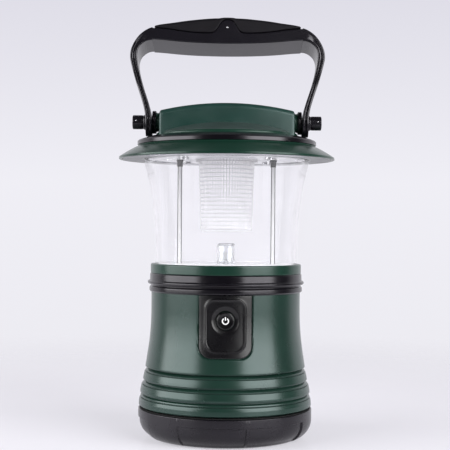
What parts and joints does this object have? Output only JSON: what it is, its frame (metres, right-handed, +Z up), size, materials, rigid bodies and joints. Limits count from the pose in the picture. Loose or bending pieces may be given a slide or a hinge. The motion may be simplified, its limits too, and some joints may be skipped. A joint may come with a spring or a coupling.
{
  "type": "camping lantern",
  "caption": "Battery camping lantern with a ribbed waisted body, clear flared globe with a prism diffuser, wide brimmed canopy, folding carry handle and twist-off battery base.",
  "frame": {"origin": "middle of the foot plane, on the lantern's vertical axis", "axes": "+Z up along the lantern's axis, -Y towards the switch side, X along the handle pivots"},
  "size_m": [0.1406, 0.1406, 0.2731],
  "materials": {
    "black_plastic": "fine-textured black moulding",
    "black_rubber": "soft black rubber",
    "green_plastic": "dark green semi-gloss moulding",
    "white_print": "white inlay",
    "switch_plastic": "black component body",
    "circuit_board": "solder-masked board",
    "screw_steel": "zinc-plated steel",
    "carrier_plastic": "grey moulding",
    "cell_case": "plain nickel-plated can",
    "spring_steel": "nickel-plated spring",
    "contact_brass": "plated brass strip",
    "clear_globe": "clear moulded globe",
    "white_plastic": "white reflector",
    "board_aluminium": "metal-core board",
    "led_epoxy": "clear lamp body",
    "clear_tube": "clear tube",
    "rod_chrome": "polished rod",
    "socket_plastic": "dark socket",
    "clear_prism": "clear prismatic moulding",
    "grey_liner": "glossy grey liner",
    "handle_plastic": "black satin moulding",
    "grip_rubber": "soft-touch black insert",
    "wire_sleeve": "coloured insulation"
  },
  "bodies": {
    "lantern": {"body_shell": "green_plastic", "switch_panel": "black_plastic", "tact_switch": "switch_plastic", "switch_board": "circuit_board", "board_screws": "screw_steel", "battery_carrier": "carrier_plastic", "battery_cells": "cell_case", "battery_springs": "spring_steel", "contact_plates": "contact_brass", "ceiling_plate": "carrier_plastic", "output_contacts": "contact_brass", "driver_board": "circuit_board", "board_standoffs": "carrier_plastic", "driver_parts": "switch_plastic", "collar_band": "black_plastic", "deck_screws": "screw_steel", "globe_ring": "green_plastic", "gasket_lower": "black_rubber", "gasket_upper": "black_rubber", "globe": "clear_globe", "deck_reflector": "white_plastic", "led_board": "board_aluminium", "led_lamp": "led_epoxy", "led_leads": "screw_steel", "led_tube": "clear_tube", "support_rods": "rod_chrome", "rod_nuts": "screw_steel", "rod_sockets": "socket_plastic", "prism_diffuser": "clear_prism", "top_reflector": "white_plastic", "canopy": "green_plastic", "canopy_screws": "screw_steel", "brim_liner": "grey_liner", "trim_ring": "black_plastic", "crown_bar": "green_plastic", "crown_screws": "screw_steel", "lead_wires": "wire_sleeve"},
    "handle": {"handle_frame": "handle_plastic", "grip_pad": "grip_rubber", "grip_pin": "rod_chrome", "pivot_washers": "black_plastic", "pivot_knob_right": "handle_plastic", "pivot_knob_left": "handle_plastic", "knob_pins": "rod_chrome"},
    "battery_base": {"base_cap": "black_plastic", "foot_pads": "black_rubber", "base_seal": "black_rubber"},
    "button": {"power_button": "black_rubber", "power_icon": "white_print"}
  },
  "joints": [
    {"name": "handle_fold", "type": "hinge", "parent": "lantern", "child": "handle", "pos_m": [0, 0, 0.2043], "axis": [1, 0, 0], "range_deg": [-76, 96]},
    {"name": "base_twist", "type": "hinge", "parent": "lantern", "child": "battery_base", "pos_m": [0, 0, 0], "axis": [0, 0, 1], "range_deg": [-42, 0]},
    {"name": "button_press", "type": "slide", "parent": "lantern", "child": "button", "axis": [0, 1, 0], "range_m": [0, 0.0012], "stiffness_N_per_m": 800}
  ]
}
